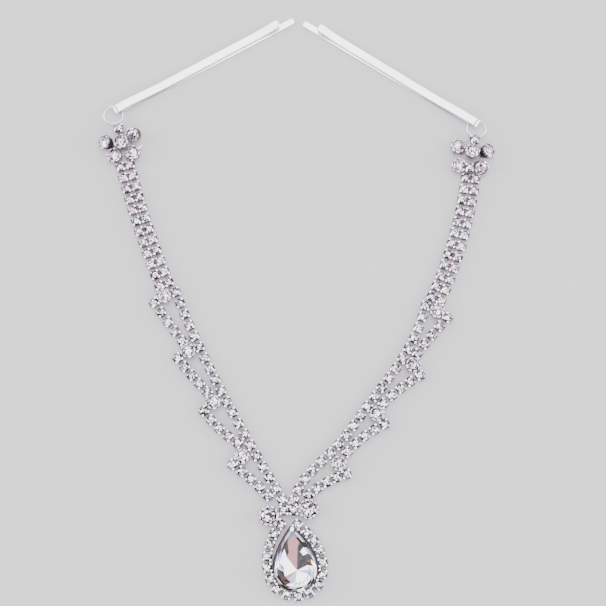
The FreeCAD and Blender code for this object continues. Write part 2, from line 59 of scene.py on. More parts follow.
Colour = tuple[float, float, float]


class Cut(Enum):
    """The sizes of round stone on the chain, by their CAD node's corner count."""

    SMALL = "small"
    ROUND = "round"
    LARGE = "large"


class Side(Enum):
    """The two ends of the chain."""

    LEFT = "left"
    RIGHT = "right"


class Bench:
    """One mesh under work. It picks faces, edges or points in code and works on them with edit tools."""

    def __init__(self, obj: bpy.types.Object) -> None:
        """Takes the object.

        Args:
            obj: A mesh object, in object mode.
        """
        self.obj = obj

    @staticmethod
    def clear() -> None:
        """Leaves edit mode and deselects everything."""
        if bpy.context.object is not None and bpy.context.object.mode != "OBJECT":
            bpy.ops.object.mode_set(mode="OBJECT")
        bpy.ops.object.select_all(action="DESELECT")

    @classmethod
    def start(cls, adder: Callable, name: str, **sizes: object) -> "Bench":
        """Adds a primitive and starts work on it.

        Args:
            adder: A primitive operator.
            name: The object's name.
            **sizes: The operator's settings.

        Returns:
            The bench with the new object.
        """
        cls.clear()
        adder(**sizes)
        obj = bpy.context.object
        obj.name = name
        obj.data.name = name
        bpy.ops.object.transform_apply(location=True, rotation=True, scale=True)
        return cls(obj)

    def open(self) -> bmesh.types.BMesh:
        """Enters edit mode with nothing selected.

        Returns:
            The mesh being edited.
        """
        if self.obj.mode != "EDIT":
            self.clear()
            self.obj.select_set(True)
            bpy.context.view_layer.objects.active = self.obj
            bpy.ops.object.mode_set(mode="EDIT")
        bpy.ops.mesh.select_mode(type="FACE")
        bpy.ops.mesh.select_all(action="DESELECT")
        made = bmesh.from_edit_mesh(self.obj.data)
        made.faces.ensure_lookup_table()
        return made

    def faces(self, test: Callable[[Vector, Vector], bool]) -> "Bench":
        """Selects the faces that pass a test.

        Args:
            test: Takes a face's centre in mm and its normal.

        Returns:
            This bench.
        """
        made = self.open()
        for face in made.faces:
            face.select = bool(test(face.calc_center_median() / MM, face.normal))
        bmesh.update_edit_mesh(self.obj.data)
        return self

    def edges(self, test: Callable[[Vector, Vector], bool]) -> "Bench":
        """Selects the edges that pass a test.

        Args:
            test: Takes an edge's middle in mm and its direction.

        Returns:
            This bench.
        """
        made = self.open()
        bpy.ops.mesh.select_mode(type="EDGE")
        for edge in made.edges:
            one, two = (v.co for v in edge.verts)
            edge.select = bool(test((one + two) / 2 / MM, (two - one).normalized()))
        bmesh.update_edit_mesh(self.obj.data)
        return self

    def extrude(self, up: float, scale: float = 1.0, turn: float = 0.0, centre: Vector = Vector()) -> "Bench":
        """Extrudes the picked faces along Z, then scales them level and turns them about a centre.

        Args:
            up: Height in mm.
            scale: Level scale after the extrusion.
            turn: Degrees about Z.
            centre: The centre of scale and turn, in mm.

        Returns:
            This bench.
        """
        bpy.ops.mesh.extrude_region_move(TRANSFORM_OT_translate={"value": (0.0, 0.0, up * MM)})
        return self.scale(scale, turn, centre)

    def scale(self, scale: float, turn: float = 0.0, centre: Vector = Vector()) -> "Bench":
        """Scales what is picked level, and turns it, about a centre in mm."""
        middle = tuple(centre * MM)
        if scale != 1.0:
            bpy.ops.transform.resize(value=(scale, scale, 1.0), center_override=middle)
        if turn:
            bpy.ops.transform.rotate(value=math.radians(turn), orient_axis="Z", center_override=middle)
        return self

    def inset(self, thickness: float) -> "Bench":
        """Insets the picked faces as one region, mm."""
        bpy.ops.mesh.inset(thickness=thickness * MM, depth=0.0)
        return self

    def bevel(self, width: float, segments: int = 1) -> "Bench":
        """Bevels the picked edges, width in mm."""
        bpy.ops.mesh.bevel(offset=width * MM, segments=segments, affect="EDGES", profile=0.5)
        return self

    def done(self, smooth: Optional[float] = None) -> bpy.types.Object:
        """Closes the mesh: merges doubles, turns faces outward and sets the shading.

        Args:
            smooth: Faces meeting under this many degrees are shaded smooth.

        Returns:
            The finished object.
        """
        self.open()
        bpy.ops.mesh.select_all(action="SELECT")
        bpy.ops.mesh.remove_doubles(threshold=0.002 * MM)
        bpy.ops.mesh.normals_make_consistent(inside=False)
        bpy.ops.object.mode_set(mode="OBJECT")
        if smooth is not None:
            bpy.ops.object.shade_smooth_by_angle(angle=math.radians(smooth))
        return self.obj


def joined(parts: Sequence[bpy.types.Object], name: str) -> bpy.types.Object:
    """Joins objects into one.

    Args:
        parts: The objects; the first one keeps its place in the scene.
        name: The name of the result.

    Returns:
        The joined object.
    """
    Bench.clear()
    for part in parts:
        part.select_set(True)
    bpy.context.view_layer.objects.active = parts[0]
    if len(parts) > 1:
        bpy.ops.object.join()
    parts[0].name = name
    parts[0].data.name = name
    return parts[0]


def copy_at(pattern: bpy.types.Object, place: Matrix) -> bpy.types.Object:
    """A copy of a pattern with its own mesh, moved in the mesh.

    Args:
        pattern: The object that is repeated.
        place: Where the copy goes, in metres.

    Returns:
        The copy.
    """
    made = pattern.copy()
    made.data = pattern.data.copy()
    made.data.transform(place)
    bpy.context.scene.collection.objects.link(made)
    return made


def discard(obj: bpy.types.Object) -> None:
    """Removes a pattern once its copies are made."""
    bpy.data.objects.remove(obj, do_unlink=True)


class Wire:
    """A shader socket that adds Math nodes when it is used in an expression."""

    def __init__(self, sheet: "Shader", socket: bpy.types.NodeSocket) -> None:
        """Keeps the shader under work and the output socket."""
        self.sheet = sheet
        self.socket = socket

    def _math(self, kind: str, one: "Value", two: "Value") -> "Wire":
        """Adds one Math node."""
        return self.sheet.node("ShaderNodeMath", {"operation": kind}, {0: one, 1: two})

    def __add__(self, other: "Value") -> "Wire":
        """self + other."""
        return self._math("ADD", self, other)

    def __radd__(self, other: "Value") -> "Wire":
        """other + self."""
        return self._math("ADD", other, self)

    def __sub__(self, other: "Value") -> "Wire":
        """self - other."""
        return self._math("SUBTRACT", self, other)

    def __rsub__(self, other: "Value") -> "Wire":
        """other - self."""
        return self._math("SUBTRACT", other, self)

    def __mul__(self, other: "Value") -> "Wire":
        """self * other."""
        return self._math("MULTIPLY", self, other)

    def __rmul__(self, other: "Value") -> "Wire":
        """other * self."""
        return self._math("MULTIPLY", other, self)


Value = Union[Wire, float, int, tuple, str]


class Shader:
    """One material under work: a Principled shader and the nodes that feed it."""

    def __init__(self, name: str) -> None:
        """Starts an empty material with its shader and output."""
        self.material = bpy.data.materials.new(name)
        self.material.use_nodes = True
        self.tree = self.material.node_tree
        self.tree.nodes.clear()
        self.skin = self.tree.nodes.new("ShaderNodeBsdfPrincipled")
        out = self.tree.nodes.new("ShaderNodeOutputMaterial")
        self.tree.links.new(self.skin.outputs["BSDF"], out.inputs["Surface"])

    def node(self, kind: str, settings: dict, inputs: dict, output: Union[int, str] = 0) -> Wire:
        """Adds a node.

        Args:
            kind: The node's type.
            settings: Its own settings; "stops" sets a ramp's stops.
            inputs: Values or wires by socket.
            output: The output socket to return.

        Returns:
            The wire from that output.
        """
        made = self.tree.nodes.new(kind)
        for key, value in settings.items():
            if key == "stops":
                ramp = made.color_ramp
                while len(ramp.elements) < len(value):
                    ramp.elements.new(1.0)
                for element, (at, shade) in zip(ramp.elements, value):
                    element.position = at
                    element.color = (*shade, 1.0)
            else:
                setattr(made, key, value)
        for key, value in inputs.items():
            self.feed(made.inputs[key], value)
        return Wire(self, made.outputs[output])

    def feed(self, socket: bpy.types.NodeSocket, value: Value) -> None:
        """Sets a socket's value, or links a wire to it."""
        if isinstance(value, Wire):
            self.tree.links.new(value.socket, socket)
        else:
            socket.default_value = value

    def set(self, **values: Value) -> "Shader":
        """Sets the shader's sockets, with underscores for spaces in their names."""
        for key, value in values.items():
            self.feed(self.skin.inputs[key.replace("_", " ")], value)
        return self

    def place(self) -> Wire:
        """Object coordinates."""
        return self.node("ShaderNodeTexCoord", {}, {}, "Object")

    def noise(self, scale: float, detail: float = 2.0) -> Wire:
        """Noise over the object, 0 to 1, scale in waves per metre."""
        return self.node("ShaderNodeTexNoise", {}, {"Vector": self.place(), "Scale": scale, "Detail": detail}, 0)

    def mix(self, share: Value, one: Value, two: Value) -> Wire:
        """Mixes two colours."""
        mixed = self.node("ShaderNodeMix", {"data_type": "RGBA"}, {0: share, 6: one, 7: two}, 2)
        return mixed

    def bump(self, height: Value, strength: float, distance: float) -> Wire:
        """A bump normal from a height, distance in metres."""
        return self.node("ShaderNodeBump", {}, {"Height": height, "Strength": strength, "Distance": distance}, 0)


def shade(colour: Colour) -> tuple[float, float, float, float]:
    """A colour with full alpha."""
    return (*colour, 1.0)


@dataclass(frozen=True)
class Plating:
    """Bright silver-coloured plating, with painted shade where the tone attribute is low and full plating where it is
    high.
    """

    name: str
    bright: Colour = (0.96, 0.94, 0.98)
    dull: Colour = (0.78, 0.72, 0.80)
    # painted shade: the colour that the tone attribute paints into hollows, notches and low metal
    painted_shade: Colour = (0.05, 0.035, 0.05)
    rough: float = 0.13
    rough_more: float = 0.16
    grain: float = 900.0
    ripple: float = 0.06

    def material(self) -> bpy.types.Material:
        """Builds the material.

        Returns:
            The plating.
        """
        sheet = Shader(self.name)
        painted_light_share = sheet.node("ShaderNodeAttribute", {"attribute_name": "tone"}, {}, "Fac")
        cloud = sheet.noise(self.grain)
        fine = sheet.noise(self.grain * 6, 3.0)
        skin = sheet.mix(cloud, shade(self.bright), shade(self.dull))
        sheet.set(
            # the tone attribute mixes painted shade into the base colour; where it is low the metal is also less
            # metallic and rougher
            Base_Color=sheet.mix(painted_light_share, shade(self.painted_shade), skin),
            Metallic=0.40 + painted_light_share * 0.48,
            Roughness=self.rough + fine * self.rough_more + (1.0 - painted_light_share) * 0.4,
            Normal=sheet.bump(fine, self.ripple, 0.02 * MM),
        )
        return sheet.material


@dataclass(frozen=True)
class CutGlass:
    """Cut glass on bright foil: each facet's tone attribute is a painted reflection, from white glints to black."""

    name: str
    rough: float = 0.04
    rough_more: float = 0.06
    metal: float = 0.55

    def material(self) -> bpy.types.Material:
        """Builds the material.

        Returns:
            The glass, coloured by the painted reflections in its tone attribute.
        """
        sheet = Shader(self.name)
        tone = sheet.node("ShaderNodeAttribute", {"attribute_name": "tone"}, {}, "Color")
        cloud = sheet.noise(1400.0)
        sheet.set(
            # the base colour is the facet's painted reflection
            Base_Color=sheet.mix(cloud * 0.05, tone, shade((0.98, 0.95, 1.0))),
            Metallic=self.metal,
            Roughness=self.rough + cloud * self.rough_more,
            Specular_IOR_Level=0.08,
            Coat_Weight=0.05,
            Coat_Roughness=0.02,
            IOR=1.55,
        )
        return sheet.material


@dataclass(frozen=True)
class PinSteel:
    """Polished flat steel with faint lines along the strip."""

    name: str
    heading: float
    bright: Colour = (0.97, 0.96, 0.99)
    dull: Colour = (0.80, 0.75, 0.84)

    def material(self) -> bpy.types.Material:
        """Builds the material.

        Returns:
            The steel, its lines running along the pin.
        """
        sheet = Shader(self.name)
        turned = sheet.node(
            "ShaderNodeMapping", {}, {
                "Vector": sheet.place(),
                "Rotation": (0.0, 0.0, -math.radians(self.heading)),
                "Scale": (60.0, 6000.0, 900.0),
            },
        )
        lines = sheet.node("ShaderNodeTexNoise", {}, {"Vector": turned, "Scale": 1.0, "Detail": 3.0}, 0)
        cloud = sheet.noise(110.0)
        sheet.set(
            Base_Color=sheet.mix(cloud * 0.6, shade(self.bright), shade(self.dull)),
            Metallic=0.86,
            Roughness=0.12 + lines * 0.12,
            Normal=sheet.bump(lines, 0.05, 0.02 * MM),
        )
        return sheet.material


class Tones(Enum):
    """Painted reflections that a facet throws back: its colour, its share in white stones and in blushing ones."""

    WHITE = ((1.00, 0.99, 1.00), 45, 38)
    PINK = ((0.56, 0.26, 0.38), 8, 24)
    LAVENDER = ((0.38, 0.32, 0.66), 12, 16)
    GREY = ((0.10, 0.085, 0.11), 12, 8)
    PLUM = ((0.014, 0.004, 0.010), 14, 12)
    BLACK = ((0.001, 0.001, 0.002), 19, 10)

    @property
    def colour(self) -> Colour:
        """The colour alone."""
        return self.value[0]


def tint(obj: bpy.types.Object, choose: Callable[[Vector, Vector, int], Colour]) -> None:
    """Gives every face of a mesh one tone.

    Args:
        obj: The object.
        choose: Takes a face's centre in mm, its normal and its number, and returns a colour.
    """
    mesh = obj.data
    if "tone" not in mesh.color_attributes:
        mesh.color_attributes.new("tone", "FLOAT_COLOR", "CORNER")
    layer = mesh.color_attributes["tone"]
    for face in mesh.polygons:
        colour = shade(choose(face.center / MM, face.normal, face.index))
        for corner in face.loop_indices:
            layer.data[corner].color = colour


@dataclass(frozen=True)
class Gauge:
    """Sizes of a claw cup and its stone, mm. The foot stands at 0."""

    stone: float
    culet_z: float
    girdle_z: float
    crown: float
    cup: float
    foot: float
    rim_z: float
    claw_z: float
    claws: int


GAUGES = {
    Cut.SMALL: Gauge(1.20, 0.508, 1.455, 0.45, 1.42, 1.15, 1.12, 1.97, 4),
    Cut.ROUND: Gauge(1.85, 0.507, 1.955, 0.60, 2.15, 1.70, 1.80, 2.56, 8),
    Cut.LARGE: Gauge(2.50, 0.504, 2.357, 0.75, 2.85, 2.10, 2.20, 3.06, 12),
}


@dataclass
class Seat:
    """One stone found in the frame: its cut and the place of its cup's foot, in metres."""

    cut: Cut
    place: Matrix
    node: str

    @property
    def foot(self) -> Vector:
        """The foot's centre."""
        return self.place.translation

    @property
    def level(self) -> Vector:
        """The foot's centre at the ground."""
        return Vector((self.foot.x, self.foot.y, 0.0))


class SeatFinder:
    """Reads every stone's centre, axis and turn from the frame's stone nodes."""

    def __init__(self, nodes: dict[str, bpy.types.Object]) -> None:
        """Takes the frame's nodes."""
        self.nodes = nodes

    def islands(self, name: str) -> list[tuple[list[Vector], list[Vector]]]:
        """Splits one node into its separate solids.

        Args:
            name: The node.

        Returns:
            For each solid, its points and its faces' normals.
        """
        made = bmesh.new()
        made.from_mesh(self.nodes[name].data)
        bmesh.ops.remove_doubles(made, verts=made.verts[:], dist=0.002 * MM)
        made.normal_update()
        found = []
        left = set(made.verts)
        while left:
            group = set()
            edge = [next(iter(left))]
            while edge:
                vert = edge.pop()
                if vert in group:
                    continue
                group.add(vert)
                edge += [e.other_vert(vert) for e in vert.link_edges]
            left -= group
            points = sorted((v.co.copy() for v in group), key=lambda p: (p.x, p.y, p.z))
            normals = [f.normal.copy() for f in made.faces if f.verts[0] in group]
            found.append((points, normals))
        made.free()
        return sorted(found, key=lambda solid: (solid[0][0].x, solid[0][0].y))

    @staticmethod
    def axis_of(normals: list[Vector]) -> Vector:
        """The normal that most faces share, which is the table's."""
        best = max(normals, key=lambda n: (sum(n.dot(m) > 0.9999 for m in normals), n.z))
        return best.normalized()

    def seats(self, name: str) -> list[Seat]:
        """The seats of one stone node.

        Args:
            name: The node.

        Returns:
            Its seats.
        """
        found = []
        for points, normals in self.islands(name):
            corners = 4 if len(points) <= 13 else 8
            axis = UP if corners == 4 else self.axis_of(normals)
            points.sort(key=lambda p: p.dot(axis))
            culet, table = points[0], points[-corners:]
            middle = sum(table, Vector()) / corners
            reach = max((p - middle).length for p in table) / MM
            cut = Cut.SMALL if corners == 4 else (Cut.ROUND if reach < 1.3 else Cut.LARGE)
            corner = (table[0] - middle).normalized()
            offset = -45.0 if corners == 4 else -22.5
            along = Matrix.Rotation(math.radians(offset), 3, axis) @ corner
            across = axis.cross(along)
            turn = Matrix((along, across, axis)).transposed().to_4x4()
            foot = culet - axis * (GAUGES[cut].culet_z * MM)
            found.append(Seat(cut, Matrix.Translation(foot) @ turn, name))
        return found

    def pocket_points(self, name: str) -> list[Vector]:
        """The corner points of a metal node."""
        return [v.co.copy() for v in self.nodes[name].data.vertices]


class SmallCup:
    """The square claw cup of the cup chain: pressed box, four folded claws, a hollow for the stone."""

    corner = 0.52
    wall = 0.17
    fold = 0.79
    fold_rise = 0.06

    def __init__(self, gauge: Gauge) -> None:
        """Takes the sizes."""
        self.gauge = gauge

    def depth(self, at: Vector, out: Vector, number: int) -> Colour:
        """Painted shade and highlight by how open a face lies: black painted shade in the hollow, grey painted shade
        down the sides, dark painted shade on the rim between the claws, a white painted highlight on the claws' tops
        and grey painted shade on their sides.
        """
        g = self.gauge
        inside = max(abs(at.x), abs(at.y)) < g.cup - self.wall * 1.4 and at.xy.length < g.cup
        if at.z < g.rim_z - 0.02 and inside:
            return (0.0, 0.0, 0.0)
        if at.z < g.rim_z - 0.02:
            return (0.34, 0.34, 0.34)
        if at.z < g.rim_z + 0.02:
            return (0.10, 0.10, 0.10)
        return (1.0, 1.0, 1.0) if out.z > 0.5 else (0.6, 0.6, 0.6)

    def build(self) -> bpy.types.Object:
        """Presses the cup from a block.

        Returns:
            The cup, its foot at the origin.
        """
        g = self.gauge
        size = 2 * g.cup * MM
        bench = Bench.start(
            bpy.ops.mesh.primitive_cube_add, "small_cup", size=1.0,
            location=(0, 0, g.rim_z / 2 * MM), scale=(size, size, g.rim_z * MM),
        )
        bench.edges(lambda at, along: abs(along.z) > 0.9).bevel(self.corner)
        bench.faces(lambda at, out: out.z < -0.9).scale(g.foot / g.cup)
        bench.faces(lambda at, out: out.z > 0.9).inset(self.wall)
        bench.faces(lambda at, out: out.z > 0.9 and at.xy.length < 0.5).extrude(-0.7, 0.55)
        near = g.cup - self.corner - 0.05
        bench.faces(lambda at, out: out.z > 0.9 and min(abs(at.x), abs(at.y)) > near)
        bench.extrude(g.claw_z - g.rim_z - self.fold_rise, 0.95).extrude(self.fold_rise, self.fold)
        cup = bench.done()
        # paints shade and highlight into the cup's tone attribute
        tint(cup, self.depth)
        return cup


class RoundCup:
    """A round claw cup: a cone of sheet with claws folded over the girdle all round."""

    wall = 0.20
    fold_rise = 0.07

    def __init__(self, gauge: Gauge) -> None:
        """Takes the sizes."""
        self.gauge = gauge
        self.segments = 3 * gauge.claws

    def depth(self, at: Vector, out: Vector, number: int) -> Colour:
        """Painted shade and highlight by how open a face lies: black painted shade in the hollow, dark painted shade
        on the flat rim between the claws, light grey painted shade down the sides, a white painted highlight on the
        claws' tops and light grey painted shade on their sides.
        """
        g = self.gauge
        if at.z < g.rim_z - 0.02 and at.xy.length < g.cup - self.wall * 1.2:
            return (0.0, 0.0, 0.0)
        if at.z < g.rim_z + 0.02:
            return (0.12, 0.12, 0.12) if out.z > 0.9 else (0.75, 0.75, 0.75)
        return (1.0, 1.0, 1.0) if out.z > 0.5 else (0.8, 0.8, 0.8)

    def build(self) -> bpy.types.Object:
        """Turns the cup from a disc.

        Returns:
            The cup, its foot at the origin.
        """
        g = self.gauge
        step = 360.0 / self.segments
        bench = Bench.start(
            bpy.ops.mesh.primitive_cylinder_add, "round_cup", vertices=self.segments, radius=g.cup * MM,
            depth=g.rim_z * MM, location=(0, 0, g.rim_z / 2 * MM),
        )
        bench.faces(lambda at, out: out.z < -0.9).scale(g.foot / g.cup)
        bench.faces(lambda at, out: out.z > 0.9).inset(self.wall)
        bench.faces(lambda at, out: out.z > 0.9 and at.xy.length < 0.5).extrude(-0.8, 0.70)

        def claw(at: Vector, out: Vector) -> bool:
            """True on two of every three faces of the rim."""
            number = int(((math.degrees(math.atan2(at.y, at.x)) + 360.0) % 360.0) / step)
            return out.z > 0.9 and at.xy.length > g.cup * 0.8 and number % 3 != 2

        fold = (g.stone - 0.06) / (g.cup * 0.97 - self.wall)
        bench.faces(claw).extrude(g.claw_z - g.rim_z - self.fold_rise, 0.97).extrude(self.fold_rise, fold)
        cup = bench.done(35.0)
        # paints shade and highlight into the cup's tone attribute
        tint(cup, self.depth)
        return cup


SMALL_TIERS = [(0.80, 0.68), (0.12, 0.55)]
ROUND_TIERS = [(0.46, 0.84), (0.30, 0.76), (0.16, 0.62)]


class CutStone:
    """A cut stone: girdle, crown facets in tiers that turn by half a step, a raised table and a pavilion."""

    def __init__(self, gauge: Gauge, corners: int, tiers: Sequence[tuple[float, float]]) -> None:
        """Takes the sizes.

        Args:
            gauge: The stone's sizes.
            corners: Corners of its girdle.
            tiers: For each tier of the crown, its share of the height and its narrowing.
        """
        self.gauge = gauge
        self.corners = corners
        self.tiers = tiers

    def build(self) -> bpy.types.Object:
        """Cuts the stone.

        Returns:
            The stone, standing in its cup with the foot at the origin.
        """
        g = self.gauge
        half = 180.0 / self.corners
        bench = Bench.start(
            bpy.ops.mesh.primitive_cylinder_add, "cut_stone", vertices=self.corners, radius=g.stone * MM,
            depth=0.10 * MM, location=(0, 0, g.girdle_z * MM), rotation=(0, 0, math.radians(half)),
        )
        bench.faces(lambda at, out: out.z > 0.9)
        for share, narrow in self.tiers:
            bench.extrude(g.crown * share, narrow, half)
        bpy.ops.mesh.poke(offset=0.03 * MM)
        bench.faces(lambda at, out: out.z < -0.9)
        bench.extrude(-(g.girdle_z - g.culet_z) * 0.8, 0.16)
        bench.faces(lambda at, out: abs(out.z) < 0.999 and at.z > g.girdle_z + 0.06)
        bpy.ops.mesh.quads_convert_to_tris(quad_method="FIXED")
        return bench.done()


@dataclass
class Kit:
    """What every sub-assembly needs: patterns, finishes and seats by metal node."""

    cups: dict[Cut, bpy.types.Object]
    stones: dict[Cut, bpy.types.Object]
    plating: bpy.types.Material
    glass: bpy.types.Material
    seats: dict[str, list[Seat]]


def finish_piece(
    piece: bpy.types.Object, material: bpy.types.Material, replaced: Iterable[str] = ()
) -> bpy.types.Object:
    """Dresses a piece, hangs it on its body and hides the CAD nodes that it stands for.

    Args:
        piece: The piece.
        material: Its finish.
        replaced: CAD nodes that it stands for.

    Returns:
        The piece.
    """
    piece.data.materials.clear()
    piece.data.materials.append(material)
    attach(piece, BODY)
    if replaced:
        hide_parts(*replaced)
    LOG.info("%s: %d faces", piece.name, len(piece.data.polygons))
    return piece


def plain(at: Vector, out: Vector, number: int) -> Colour:
    """The tone of open metal."""
    return (1.0, 1.0, 1.0)


def painted_low_shade(at: Vector, out: Vector, number: int) -> Colour:
    """The tone of metal that lies low between the cups: painted shade."""
    return (0.34, 0.34, 0.34)


def strap(one: Vector, two: Vector, width: float, low: float, high: float) -> bpy.types.Object:
    """A soldered bar with softened edges between two places.

    Args:
        one: The start, metres.
        two: The end, metres.
        width: Width, mm.
        low: Underside height, mm.
        high: Top height, mm.

    Returns:
        The bar.
    """
    line = two - one
    turn = math.atan2(line.y, line.x)
    bench = Bench.start(
        bpy.ops.mesh.primitive_cube_add, "strap", size=1.0,
        location=((one.x + two.x) / 2, (one.y + two.y) / 2, (low + high) / 2 * MM),
        rotation=(0, 0, turn), scale=(line.xy.length, width * MM, (high - low) * MM),
    )
    top = high - 0.01
    bench.edges(lambda at, along: at.z > top and abs(along.z) < 0.1).bevel(min(width, high - low) * 0.22)
    made = bench.done()
    # painted shade: the bar is darkened as low metal between the cups
    tint(made, painted_low_shade)
    return made


@dataclass(frozen=True)
class DarkReflection:
    """A dark painted reflection in one large stone: its place and size in the stone's own frame, mm."""

    x: float
    y: float
    reach: float

    def holds(self, at: Vector) -> bool:
        """True if a place lies in the patch."""
        return math.hypot(at.x - self.x, at.y - self.y) < self.reach


DARK_REFLECTIONS = {"bow_stone_left": DarkReflection(0.20, 0.30, 0.80), "bow_stone_right": DarkReflection(0.50, 0.90, 0.62)}


@dataclass
class StoneField:
    """The stones of one stone node, as one piece."""

    node: str
    seats: list[Seat]
    rng: random.Random
    blush_from: float = -0.03
    blush_full: float = 0.03
    wobble: float = 2.5

    def shares(self, seat: Seat) -> list[float]:
        """The tones' shares at a seat: stones blush towards the top of the chain."""
        blush = (seat.foot.y - self.blush_from) / (self.blush_full - self.blush_from)
        blush = min(1.0, max(0.0, blush))
        return [t.value[1] * (1 - blush) + t.value[2] * blush for t in Tones]

    def set_stone(self, kit: Kit, seat: Seat) -> bpy.types.Object:
        """Sets one stone, a touch off true, and paints a reflection tone on each of its facets.

        Args:
            kit: Patterns and finishes.
            seat: Where it goes.

        Returns:
            The stone.
        """
        tones = [t.colour for t in Tones]
        shares = self.shares(seat)
        lean = Matrix.Rotation(math.radians(self.rng.uniform(-self.wobble, self.wobble)), 4, "X")
        tip = Matrix.Rotation(math.radians(self.rng.uniform(-self.wobble, self.wobble)), 4, "Y")
        middle = Matrix.Translation((0.0, 0.0, GAUGES[seat.cut].girdle_z * MM))
        place = seat.place @ middle @ lean @ tip @ middle.inverted()
        stone = copy_at(kit.stones[seat.cut], place)
        dark_reflection = DARK_REFLECTIONS.get(self.node)

        def tone(at: Vector, out: Vector, number: int) -> Colour:
            """A facet's painted reflection: dark inside the stone's dark reflection patch, else drawn."""
            drawn = self.rng.choices(tones, shares)[0]
            if dark_reflection and dark_reflection.holds(at - seat.foot / MM):
                return Tones.PLUM.colour
            return drawn

        # paints each facet's reflection into the stone's tone attribute
        tint(stone, tone)
        return stone

    def build(self, kit: Kit) -> bpy.types.Object:
        """Sets a cut stone in each seat.

        Args:
            kit: Patterns and finishes.

        Returns:
            The piece.
        """
        piece = joined([self.set_stone(kit, seat) for seat in self.seats], f"{self.node}_cut")
        return finish_piece(piece, kit.glass, [self.node])


@dataclass
class ChainSetting:
    """The claw cups of one soldered setting, with the links between neighbours."""

    node: str
    link_reach: float = 3.75
    accent_reach: float = 4.4
    link_width: float = 0.76
    solder_width: float = 1.2
    extras: list[bpy.types.Object] = field(default_factory=list)

    def links(self, seats: list[Seat]) -> list[bpy.types.Object]:
        """Bars between cups that stand close together.

        Args:
            seats: The setting's seats.

        Returns:
            The bars.
        """
        made = []
        for i, one in enumerate(seats):
            for two in seats[i + 1:]:
                away = (one.level - two.level).length / MM
                small = one.cut is Cut.SMALL and two.cut is Cut.SMALL
                if away > (self.link_reach if small else self.accent_reach) or max(one.foot.z, two.foot.z) > 0.05 * MM:
                    continue
                side_by_side = small and away < 3.1
                width = self.link_width if small and not side_by_side else self.solder_width
                high = 0.60 if width == self.link_width else 0.90
                made.append(strap(one.level, two.level, width, 0.28, high))
        return made

    def build(self, kit: Kit) -> bpy.types.Object:
        """Sets a cup at each seat and solders the links in.

        Args:
            kit: Patterns and finishes.

        Returns:
            The piece.
        """
        seats = kit.seats[self.node]
        made = [copy_at(kit.cups[seat.cut], seat.place) for seat in seats]
        made += self.links(seats) + self.extras
        piece = joined(made, f"{self.node}_cups")
        return finish_piece(piece, kit.plating, [self.node])


